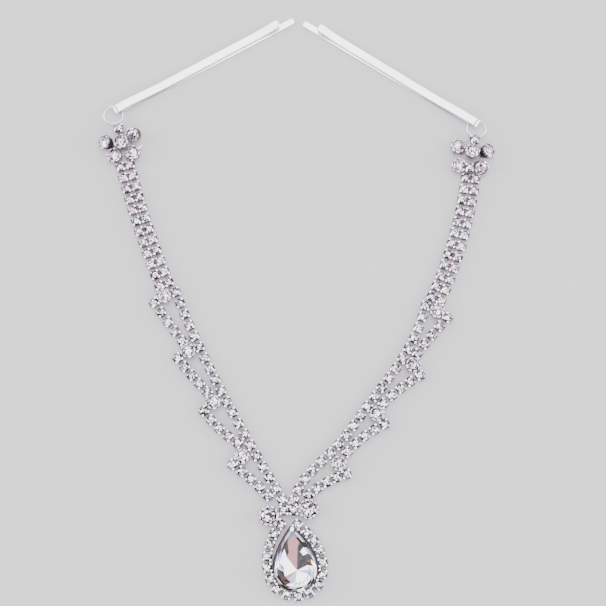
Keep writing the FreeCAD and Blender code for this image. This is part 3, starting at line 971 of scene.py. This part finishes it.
@dataclass
class Rosette:
    """A flower of cups on a disc, with posts under raised cups and a wire loop for the ring."""

    side: Side
    disc_r: float = 3.2
    plate_z: float = 0.6
    tongue: float = 1.6
    post_r: float = 0.8
    loop_r: float = 0.80
    loop_wire: float = 0.28
    ring_r: float = 2.75
    ring_z: float = 1.25

    def disc(self, middle: Vector) -> bpy.types.Object:
        """The backing disc with a softened edge."""
        bench = Bench.start(
            bpy.ops.mesh.primitive_cylinder_add, "disc", vertices=40, radius=self.disc_r * MM,
            depth=self.plate_z * MM, location=(middle.x, middle.y, self.plate_z / 2 * MM),
        )
        bench.edges(lambda at, along: at.z > self.plate_z - 0.01 and abs(along.z) < 0.1).bevel(0.15, 2)
        made = bench.done(40.0)
        # painted shade: the disc is darkened as low metal under the flower
        tint(made, painted_low_shade)
        return made

    def post(self, at: Vector, radius: float, top: float) -> bpy.types.Object:
        """A round post from the disc to a raised cup."""
        bench = Bench.start(
            bpy.ops.mesh.primitive_cylinder_add, "post", vertices=20, radius=radius * MM,
            depth=top * MM, location=(at.x, at.y, top / 2 * MM),
        )
        bench.faces(lambda place, out: out.z < -0.9).scale(1.12, 0.0, Vector((at.x, at.y, 0)) / MM)
        made = bench.done(40.0)
        # painted shade: the post is darkened as low metal under its cup
        tint(made, painted_low_shade)
        return made

    def loop(self, ring_at: Vector, toward: Vector) -> bpy.types.Object:
        """The wire loop that the jump ring hangs in, spun from a round section."""
        centre = ring_at + toward * (self.ring_r * MM)
        centre.z = self.ring_z * MM
        axle = Vector((-toward.y, toward.x, 0.0))
        start = centre + toward * (self.loop_r * MM)
        bench = Bench.start(
            bpy.ops.mesh.primitive_circle_add, "loop", vertices=10, radius=self.loop_wire * MM,
            location=start, rotation=(0.0, 0.0, math.atan2(toward.y, toward.x)),
        )
        bench.open()
        bpy.ops.mesh.select_all(action="SELECT")
        bpy.ops.mesh.spin(steps=28, angle=math.tau, center=centre, axis=axle)
        made = bench.done(60.0)
        tint(made, plain)
        return made

    def build(self, kit: Kit) -> bpy.types.Object:
        """Builds the flower's metal round its seats.

        Args:
            kit: Patterns, finishes and seats.

        Returns:
            The piece.
        """
        node = f"rosette_setting_{self.side.value}"
        seats = kit.seats[node]
        named = {seat.node.rsplit("_", 1)[-1]: seat for seat in seats if seat.node.startswith("rosette")}
        middle = next(seat for seat in seats if seat.node.endswith("_centre")).level
        top = next(seat for seat in seats if seat.node.endswith("_top"))
        low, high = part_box(f"jump_ring_{self.side.value}")
        ring_at = Vector(((low.x + high.x) / 2, (low.y + high.y) / 2, 0.0))
        toward = top.level - ring_at
        post_at = ring_at + toward.normalized() * max(toward.length, 4.35 * MM)
        extras = [self.disc(middle), self.post(middle, 1.2, 2.3), self.post(post_at, 0.9, top.foot.z / MM + 0.2)]
        arm_z = self.plate_z - 0.06
        extras += [strap(middle, post_at, self.tongue, 0.0, arm_z), self.loop(ring_at, toward.normalized())]
        for seat in named.values():
            if seat is top or seat.node.endswith("_centre"):
                continue
            extras.append(strap(middle, seat.level, self.tongue, 0.0, 0.35))
            if seat.foot.z > 0.05 * MM:
                extras.append(self.post(seat.level, self.post_r, seat.foot.z / MM + 0.1))
        pair = [seat.level for seat in seats if seat.node.startswith("band")]
        extras.append(strap(middle, sum(pair, Vector()) / len(pair), self.tongue, 0.0, arm_z - 0.03))
        if self.side is Side.LEFT:
            extras.append(self.bent_claw(named["2"]))
        return ChainSetting(node, accent_reach=0.0, extras=extras).build(kit)

    def bent_claw(self, seat: Seat) -> bpy.types.Object:
        """The one claw of the left flower that stands out sideways."""
        heading = Vector((math.cos(math.radians(36.0)), math.sin(math.radians(36.0)), 0.0))
        start = seat.foot + heading * (1.95 * MM) + UP * (2.35 * MM)
        bench = Bench.start(
            bpy.ops.mesh.primitive_cube_add, "bent_claw", size=1.0, location=start + heading * (0.75 * MM),
            rotation=(0, math.radians(-6.0), math.radians(36.0)), scale=(1.5 * MM, 0.42 * MM, 0.14 * MM),
        )
        far = (start + heading * (1.45 * MM)) / MM
        bench.faces(lambda at, out: (at - far).length < 0.3 and abs(out.z) < 0.5 and out.dot(heading) > 0.8)
        bench.scale(0.6, 0.0, far)
        made = bench.done()
        tint(made, plain)
        return made


@dataclass(frozen=True)
class Tier:
    """One level of the drop: its height, its scale about a centre, its growth outward, its turn in half steps."""

    z: float
    scale: float = 1.0
    grow: float = 0.0
    turned: bool = False
    about: tuple[float, float] = (0.0, 0.0)


@dataclass
class Drop:
    """The pear: its cut, its collar with claws, and the plate behind it. Sizes in mm."""

    lean: float = 5.3
    length: float = 17.2
    belly: float = 7.4
    corners: int = 24
    focus: tuple[float, float] = (0.35, -3.1)
    girdle: tuple[float, float] = (2.95, 3.05)
    break_z: float = 3.55
    star_z: float = 4.14
    kite_z: float = 4.38
    peak_z: float = 4.60
    claw_at: tuple[float, ...] = (0.0, 60.0, 105.0, 150.0, 172.5, 195.0, 247.5, 300.0)

    def outline(self, angle: float, tier: Tier) -> Vector:
        """A point of the drop's outline.

        Args:
            angle: Degrees round the outline from its tip.
            tier: Its level.

        Returns:
            The point, mm, with the tip towards +Y.
        """
        about = Vector((*tier.about, 0.0))

        def at(degrees: float) -> Vector:
            """The outline before it grows."""
            t = math.radians(degrees)
            reach = math.sin(t) * math.sin(t / 2)
            return about + (Vector((self.belly * reach, self.length / 2 * math.cos(t), 0.0)) - about) * tier.scale
        here = at(angle)
        line = at(angle + 0.5) - at(angle - 0.5)
        out = Vector((0.0, 1.0, 0.0)) if angle % 360 == 0 else Vector((-line.y, line.x, 0.0)).normalized()
        return here + out * tier.grow + UP * tier.z

    def loft(self, name: str, tiers: Sequence[Tier]) -> Bench:
        """Bridges outlines, one above the other, and closes both ends.

        Args:
            name: The object's name.
            tiers: Its levels from the bottom.

        Returns:
            The bench with the shape.
        """
        hoops = []
        for tier in tiers:
            hoop = Bench.start(bpy.ops.mesh.primitive_circle_add, name, vertices=self.corners, radius=MM).obj
            order = sorted(hoop.data.vertices, key=lambda v: math.atan2(v.co.y, v.co.x))
            for i, vert in enumerate(order):
                vert.co = self.outline(360.0 * (i + 0.5 * tier.turned) / self.corners, tier) * MM
            hoops.append(hoop)
        bench = Bench(joined(hoops, name))
        for low, high in zip(tiers, tiers[1:]):
            bench.edges(lambda at, along: abs(along.z) < 1e-3 and min(abs(at.z - low.z), abs(at.z - high.z)) < 1e-3)
            bpy.ops.mesh.bridge_edge_loops()
        for end in (tiers[0], tiers[-1]):
            bench.edges(lambda at, along: abs(along.z) < 1e-3 and abs(at.z - end.z) < 1e-3)
            bpy.ops.mesh.edge_face_add()
        return bench

    def put(self, obj: bpy.types.Object) -> bpy.types.Object:
        """Moves a finished shape to the drop's place, in its mesh."""
        points = [v.co for v in frame["nodes"]["pear_crystal"].data.vertices]
        low = min(points, key=lambda p: p.z)
        turn = Matrix.Rotation(math.radians(self.lean), 4, "Z")
        obj.data.transform(Matrix.Translation((low.x, low.y, 0.0)) @ turn)
        return obj

    def tone(self, at: Vector, out: Vector, number: int) -> Colour:
        """The painted reflection of one facet, as the glass throws it back.

        Args:
            at: The facet's centre, mm, before it is placed.
            out: Its normal, not used.
            number: Its number.

        Returns:
            The colour.
        """
        angle = math.degrees(math.atan2(at.y - self.focus[1], at.x - self.focus[0])) % 360.0
        if at.z > self.kite_z:
            bands = PEAK_BANDS
        elif at.z > self.star_z:
            bands = KITE_BANDS
        elif at.z > self.break_z:
            bands = BREAK_BANDS
        else:
            bands = RIM_BANDS
            drawn = random.Random(number * 13 + 5).choice([None, None, WHITE, WHITE, ICE, SLATE, ROSE])
            if drawn:
                return drawn
        return next((tone for end, tone in bands if angle < end), bands[0][1])

    def crystal(self, kit: Kit) -> bpy.types.Object:
        """Cuts the drop: pavilion, girdle, two tiers of facets and a low peak over the culet.

        Args:
            kit: Patterns and finishes.

        Returns:
            The crystal piece.
        """
        bench = self.loft("pear_crystal_cut", [
            Tier(1.3, 0.2), Tier(self.girdle[0]), Tier(self.girdle[1]),
            Tier(self.break_z, 0.92, 0.0, True, self.focus), Tier(self.star_z, 0.82, 0.0, False, self.focus),
            Tier(self.kite_z, 0.60, 0.0, True, self.focus),
        ])
        bench.faces(lambda at, out: out.z > 0.99 and at.z > self.kite_z - 0.01)
        bpy.ops.mesh.poke()
        made = bmesh.from_edit_mesh(bench.obj.data)
        peak = max(made.verts, key=lambda v: v.index)
        peak.co = Vector((*self.focus, self.peak_z)) * MM
        bmesh.update_edit_mesh(bench.obj.data)
        piece = bench.done()
        # paints each facet's reflection into the drop's tone attribute
        tint(piece, self.tone)
        bench.faces(lambda at, out: self.girdle[1] + 0.01 < at.z < self.kite_z - 0.01)
        bpy.ops.mesh.quads_convert_to_tris(quad_method="FIXED")
        bench.done()
        self.put(piece)
        return finish_piece(piece, kit.glass, ["pear_crystal"])

    def metal(self) -> list[bpy.types.Object]:
        """The backing plate, and the collar with its claws folded over the girdle, both with painted shade.

        Returns:
            The parts, placed.
        """
        plate = self.loft("plate", [Tier(0.0, 1.0, 0.8), Tier(0.6, 1.0, 0.8)]).done()
        # painted shadow: the plate's top is black and its sides half dark, as the shade round the drop
        tint(plate, lambda at, out, number: (0.0, 0.0, 0.0) if out.z > 0.5 else (0.5, 0.5, 0.5))
        rim_z = 2.78
        bench = self.loft("collar", [Tier(0.3, 0.72), Tier(rim_z, 1.0, 0.34), Tier(rim_z + 0.005, 1.0, 0.12), Tier(0.7, 0.3)])
        spots = [self.outline(a, Tier(rim_z, 1.0, 0.23)) for a in self.claw_at]
        bench.faces(lambda at, out: abs(at.z - rim_z) < 0.05 and min((at - spot).length for spot in spots) < 0.62)
        bench.extrude(0.55, 0.985).extrude(0.14, 0.90)
        collar = bench.done()
        # painted shade: the collar is near black below the claws, which keep full plating
        tint(collar, lambda at, out, number: (1.0, 1.0, 1.0) if at.z > rim_z + 0.1 else (0.05, 0.05, 0.05))
        return [self.put(obj) for obj in (plate, collar)]


# Colours of the drop's painted reflections, from white glints to near-black facets.
WHITE: Colour = (1.0, 0.99, 1.0)
ICE: Colour = (0.30, 0.38, 0.52)
ROSE: Colour = (0.28, 0.12, 0.13)
LILAC: Colour = (0.30, 0.25, 0.54)
SLATE: Colour = (0.002, 0.003, 0.004)
SMOKE: Colour = (0.018, 0.016, 0.023)
BROWN: Colour = (0.019, 0.004, 0.004)
GOLD: Colour = (0.07, 0.033, 0.011)
MOSS: Colour = (0.05, 0.06, 0.04)
INK: Colour = (0.016, 0.012, 0.06)

Bands = list[tuple[float, Colour]]
PEAK_BANDS: Bands = [
    (26, WHITE), (42, SMOKE), (66, SLATE), (84, SMOKE), (122, ROSE), (196, WHITE), (214, ROSE), (262, LILAC),
    (345, WHITE), (360, LILAC),
]
KITE_BANDS: Bands = [
    (14, WHITE), (30, GOLD), (46, WHITE), (62, SMOKE), (70, WHITE), (84, SLATE), (108, ROSE), (120, SLATE),
    (160, WHITE), (178, ICE), (232, BROWN), (240, LILAC), (262, WHITE), (277, MOSS), (330, WHITE), (346, ICE),
    (360, WHITE),
]
BREAK_BANDS: Bands = [
    (8, ICE), (20, WHITE), (44, BROWN), (60, WHITE), (72, SMOKE), (84, SLATE), (102, ICE), (120, SLATE),
    (138, LILAC), (158, WHITE), (170, ICE), (186, INK), (226, BROWN), (244, ROSE), (262, WHITE), (272, SMOKE),
    (304, WHITE), (328, INK), (346, WHITE), (360, ICE),
]
RIM_BANDS: Bands = [
    (14, SMOKE), (40, BROWN), (60, ICE), (84, SMOKE), (104, ICE), (122, SLATE), (150, LILAC), (190, INK),
    (222, BROWN), (250, ROSE), (300, WHITE), (330, INK), (360, WHITE),
]


@dataclass
class BobbyPin:
    """A flat strip folded into two legs, with an eye at the fold and the upper tip turned up. Sizes in mm."""

    side: Side
    heading: float
    upper: float
    lower: float
    drift: float
    half_thick: float = 0.25
    half_wide: float = 1.2
    tip_half: float = 1.0
    edge: float = 0.11
    eye: float = 1.0
    tip_round: float = 0.8

    def height(self, x: float) -> float:
        """The upper leg's middle height at a place along it."""
        keys = [(1.25, 2.25), (3.7, 2.25), (16.5, 1.20), (self.upper - 7.4, 0.95), (self.upper - 5.4, 1.10),
                (self.upper, 2.10)]
        for (x0, z0), (x1, z1) in zip(keys, keys[1:]):
            if x <= x1:
                t = max(0.0, (x - x0) / (x1 - x0))
                ease = t * t * (3 - 2 * t) if x1 < 17.0 else t
                return z0 + (z1 - z0) * ease
        return keys[-1][1]

    def path(self) -> list[Vector]:
        """The strip's middle line, from the lower tip round the eye to the upper tip."""
        low, far = self.half_thick, self.eye + self.half_thick
        taper = 6.0
        line = []
        for step in [0.0, 0.12, 0.3, 0.55, 0.85] + [1.3 + 1.1 * i for i in range(int((self.lower - 2.6) / 1.1))]:
            x = self.lower - step
            share = max(0.0, x - taper) / (self.lower - taper)
            line.append(Vector((x, self.drift * share * (2.0 - share), low)))
        for i in range(13):
            turn = math.radians(-90.0 - 15.0 * i)
            line.append(Vector((far + self.eye * math.cos(turn), 0.0, far + self.eye * math.sin(turn))))
        count = int((self.upper - 3.0) / 0.7)
        rest = [1.25 + (self.upper - 2.2) * (i + 1) / count for i in range(count)]
        rest += [self.upper - back for back in (0.55, 0.3, 0.12, 0.0)]
        line += [Vector((x, 0.0, self.height(x))) for x in rest]
        return line

    def width(self, spot: Vector, lower: bool) -> float:
        """Half the strip's width at a place, with both tips rounded."""
        end = self.lower if lower else self.upper
        half = self.half_wide
        if lower:
            half += (self.tip_half - self.half_wide) * max(0.0, spot.x - 6.0) / (self.lower - 6.0)
        left = min(self.tip_round, end - spot.x)
        back = 1.0 - left / self.tip_round
        return half * (0.42 + 0.58 * math.sqrt(max(0.0, 1.0 - back * back)))

    def section(self, line: list[Vector], i: int) -> list[Vector]:
        """The strip's rounded section at one point of its line."""
        before, after = line[max(0, i - 1)], line[min(len(line) - 1, i + 1)]
        along = (after - before).normalized()
        flat = Vector((along.x, 0.0, along.z)).normalized()
        up = Vector((flat.z, 0.0, -flat.x))
        across = Vector((0.0, 1.0, 0.0))
        half = self.width(line[i], line[i].z < self.half_thick + 0.01 and i < len(line) // 2)
        thick, edge = self.half_thick, self.edge
        corners = [(half, thick - edge), (half - edge, thick), (-half + edge, thick), (-half, thick - edge),
                   (-half, edge - thick), (-half + edge, -thick), (half - edge, -thick), (half, edge - thick)]
        return [(line[i] + across * a + up * b) * MM for a, b in corners]

    def build(self, node: str) -> bpy.types.Object:
        """Draws the strip along its line, one extrusion at a time.

        Args:
            node: The CAD pin that it stands for.

        Returns:
            The piece.
        """
        line = self.path()
        bench = Bench.start(
            bpy.ops.mesh.primitive_circle_add, f"{node}_strip", vertices=8, radius=MM, fill_type="NGON",
        )
        bench.open()
        bpy.ops.mesh.select_all(action="SELECT")
        made = bmesh.from_edit_mesh(bench.obj.data)
        ring = sorted(made.verts, key=lambda v: math.atan2(v.co.y, v.co.x))
        for i in range(len(line)):
            if i:
                bpy.ops.mesh.extrude_region_move()
                made = bmesh.from_edit_mesh(bench.obj.data)
                fresh = [v for v in made.verts if v.select]
                ring = [min(fresh, key=lambda v: (v.co - spot).length) for spot in spots]
            spots = self.section(line, i)
            for vert, spot in zip(ring, spots):
                vert.co = spot
            bmesh.update_edit_mesh(bench.obj.data)
        strip = bench.done(40.0)
        strip.data.transform(self.place(node))
        finish = PinSteel(f"pin_steel_{self.side.value}", self.heading).material()
        return finish_piece(strip, finish, [node])

    def place(self, node: str) -> Matrix:
        """Where the fold is, read from the CAD pin: its farthest points against the heading."""
        turn = math.radians(self.heading)
        along = Vector((math.cos(turn), math.sin(turn), 0.0))
        points = [v.co.copy() for v in frame["nodes"][node].data.vertices]
        first = min(p.dot(along) for p in points)
        fold = [p for p in points if p.dot(along) < first + 0.02 * MM]
        across = Vector((-along.y, along.x, 0.0))
        side = [p.dot(across) for p in fold]
        middle = (max(side) + min(side)) / 2
        return Matrix.Translation(along * first + across * middle) @ Matrix.Rotation(turn, 4, "Z")


PINS = {
    Side.LEFT: BobbyPin(Side.LEFT, 29.66, 55.6, 60.3, -0.95),
    Side.RIGHT: BobbyPin(Side.RIGHT, 146.83, 55.9, 60.65, 0.90),
}


@dataclass
class JumpRing:
    """A round wire ring with a butt joint."""

    side: Side
    radius: float = 2.75
    wire: float = 0.28
    steps: int = 72

    def build(self, kit: Kit) -> bpy.types.Object:
        """Spins the wire round the ring's centre and leaves a hair of a joint.

        Args:
            kit: Finishes.

        Returns:
            The piece.
        """
        node = f"jump_ring_{self.side.value}"
        low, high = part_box(node)
        centre = (low + high) / 2
        bench = Bench.start(
            bpy.ops.mesh.primitive_circle_add, f"{node}_wire", vertices=14, radius=self.wire * MM,
            fill_type="NGON", location=centre + Vector((self.radius * MM, 0, 0)), rotation=(math.pi / 2, 0, 0),
        )
        bench.open()
        bpy.ops.mesh.select_all(action="SELECT")
        bpy.ops.mesh.spin(steps=self.steps, angle=math.radians(358.6), center=centre, axis=UP)
        ring = bench.done(60.0)
        tint(ring, plain)
        return finish_piece(ring, kit.plating, [node])


@dataclass
class Studio:
    """Floor, lights and camera."""

    shift: tuple[float, float] = (1.916, -1.645)
    lens: float = 82.94
    elevation: float = 78.0
    distance: float = 400.0

    def floor(self) -> None:
        """A plain pale floor under the chain."""
        bench = Bench.start(
            bpy.ops.mesh.primitive_circle_add, "floor", vertices=96, radius=0.62, fill_type="NGON",
            location=(0, 0, -0.02 * MM),
        )
        sheet = Shader("floor_paint")
        cloud = sheet.noise(14.0)
        sheet.set(
            Base_Color=sheet.mix(cloud, shade((0.60, 0.595, 0.61)), shade((0.57, 0.565, 0.585))),
            Roughness=0.6 + cloud * 0.1,
        )
        bench.obj.data.materials.append(sheet.material)

    def light(self, name: str, at: Vector, size: tuple[float, float], glow: float, colour: Colour = (1, 1, 1)) -> None:
        """A soft light aimed at the chain.

        Args:
            name: Its name.
            at: Its place, metres.
            size: Width and height, metres.
            glow: Radiance of its face.
            colour: Its colour.
        """
        data = bpy.data.lights.new(name, "AREA")
        data.shape = "RECTANGLE"
        data.size, data.size_y = size
        data.energy = glow * math.pi * size[0] * size[1]
        data.color = colour
        lamp = bpy.data.objects.new(name, data)
        lamp.location = at
        lamp.rotation_euler = (Vector((0.0, at.y * 0.7, 0.0)) - at).to_track_quat("-Z", "Y").to_euler()
        bpy.context.scene.collection.objects.link(lamp)

    def lights(self) -> None:
        """A broad panel overhead, softer panels round the chain and a dim room."""
        self.light("overhead", Vector((0.0, 0.12, 0.75)), (0.64, 0.96), 5.3)
        self.light("left", Vector((-0.70, 0.08, 0.29)), (0.60, 0.50), 8.0, (1.0, 0.95, 0.98))
        self.light("right", Vector((0.70, 0.02, 0.29)), (0.60, 0.50), 8.0, (0.95, 0.95, 1.0))
        self.light("front", Vector((0.1, -0.72, 0.42)), (0.50, 0.36), 7.0)
        self.light("back", Vector((-0.1, 0.95, 0.32)), (0.50, 0.30), 6.0)
        world = bpy.data.worlds.new("studio")
        world.use_nodes = True
        tree = world.node_tree
        tree.nodes["Background"].inputs["Color"].default_value = (0.9, 0.9, 1.0, 1.0)
        way = tree.nodes.new("ShaderNodeTexCoord")
        split = tree.nodes.new("ShaderNodeSeparateXYZ")
        glow = tree.nodes.new("ShaderNodeMapRange")
        for socket, value in (("From Min", 0.0), ("From Max", 0.26), ("To Min", 1.30), ("To Max", 0.20)):
            glow.inputs[socket].default_value = value
        tree.links.new(way.outputs["Generated"], split.inputs["Vector"])
        tree.links.new(split.outputs["Z"], glow.inputs["Value"])
        tree.links.new(glow.outputs["Result"], tree.nodes["Background"].inputs["Strength"])
        bpy.context.scene.world = world

    def camera(self) -> None:
        """The camera at the photograph's angle."""
        data = bpy.data.cameras.new("camera")
        data.lens = self.lens
        data.sensor_width = 36.0
        data.clip_start = 0.01
        cam = bpy.data.objects.new("camera", data)
        rise = math.radians(self.elevation)
        cam.location = Vector((
            self.shift[0], self.shift[1] - self.distance * math.cos(rise), self.distance * math.sin(rise),
        )) * MM
        cam.rotation_euler = (math.pi / 2 - rise, 0.0, 0.0)
        bpy.context.scene.collection.objects.link(cam)
        bpy.context.scene.camera = cam

    def build(self) -> None:
        """Sets the whole studio."""
        self.floor()
        self.lights()
        self.camera()


METAL_NODES = [
    f"{kind}_{side.value}" for kind in ("rosette_setting", "band_settings", "garland_settings") for side in Side
] + ["centre_setting"]


def stone_nodes() -> list[str]:
    """The names of the round stones' nodes, in order."""
    return sorted(n for n in frame["nodes"] if "stone" in n)


def sort_seats(finder: SeatFinder, seats: list[Seat]) -> dict[str, list[Seat]]:
    """Gives each seat to the metal node whose pocket it stands in.

    Args:
        finder: Reads the metal nodes.
        seats: All seats.

    Returns:
        Seats by metal node.
    """
    found: dict[str, list[Seat]] = {name: [] for name in METAL_NODES}
    points = {name: finder.pocket_points(name) for name in METAL_NODES}
    for seat in seats:
        floor = seat.place @ Vector((0.0, 0.0, 0.35 * MM))
        best = min(METAL_NODES, key=lambda name: min((p - floor).length_squared for p in points[name]))
        found[best].append(seat)
    return found


def main() -> None:
    """Builds the chain's pieces in order, then the studio."""
    finder = SeatFinder(frame["nodes"])
    fields = {name: finder.seats(name) for name in stone_nodes()}
    everyone = [seat for seats in fields.values() for seat in seats]
    LOG.info("seats: %d", len(everyone))
    kit = Kit(
        cups={
            Cut.SMALL: SmallCup(GAUGES[Cut.SMALL]).build(),
            Cut.ROUND: RoundCup(GAUGES[Cut.ROUND]).build(),
            Cut.LARGE: RoundCup(GAUGES[Cut.LARGE]).build(),
        },
        stones={
            Cut.SMALL: CutStone(GAUGES[Cut.SMALL], 8, SMALL_TIERS).build(),
            Cut.ROUND: CutStone(GAUGES[Cut.ROUND], 12, ROUND_TIERS).build(),
            Cut.LARGE: CutStone(GAUGES[Cut.LARGE], 16, ROUND_TIERS).build(),
        },
        plating=Plating("silver_plating").material(),
        glass=CutGlass("foiled_glass").material(),
        seats=sort_seats(finder, everyone),
    )
    rng = random.Random(20)
    for name, seats in fields.items():
        StoneField(name, seats, rng).build(kit)
    for side in Side:
        Rosette(side).build(kit)
        ChainSetting(f"band_settings_{side.value}").build(kit)
        ChainSetting(f"garland_settings_{side.value}").build(kit)
        JumpRing(side).build(kit)
        PINS[side].build(f"bobby_pin_{side.value}")
    drop = Drop()
    ChainSetting("centre_setting", extras=drop.metal()).build(kit)
    drop.crystal(kit)
    for pattern in list(kit.cups.values()) + list(kit.stones.values()):
        discard(pattern)
    Studio().build()


if __name__ == "__main__":
    main()
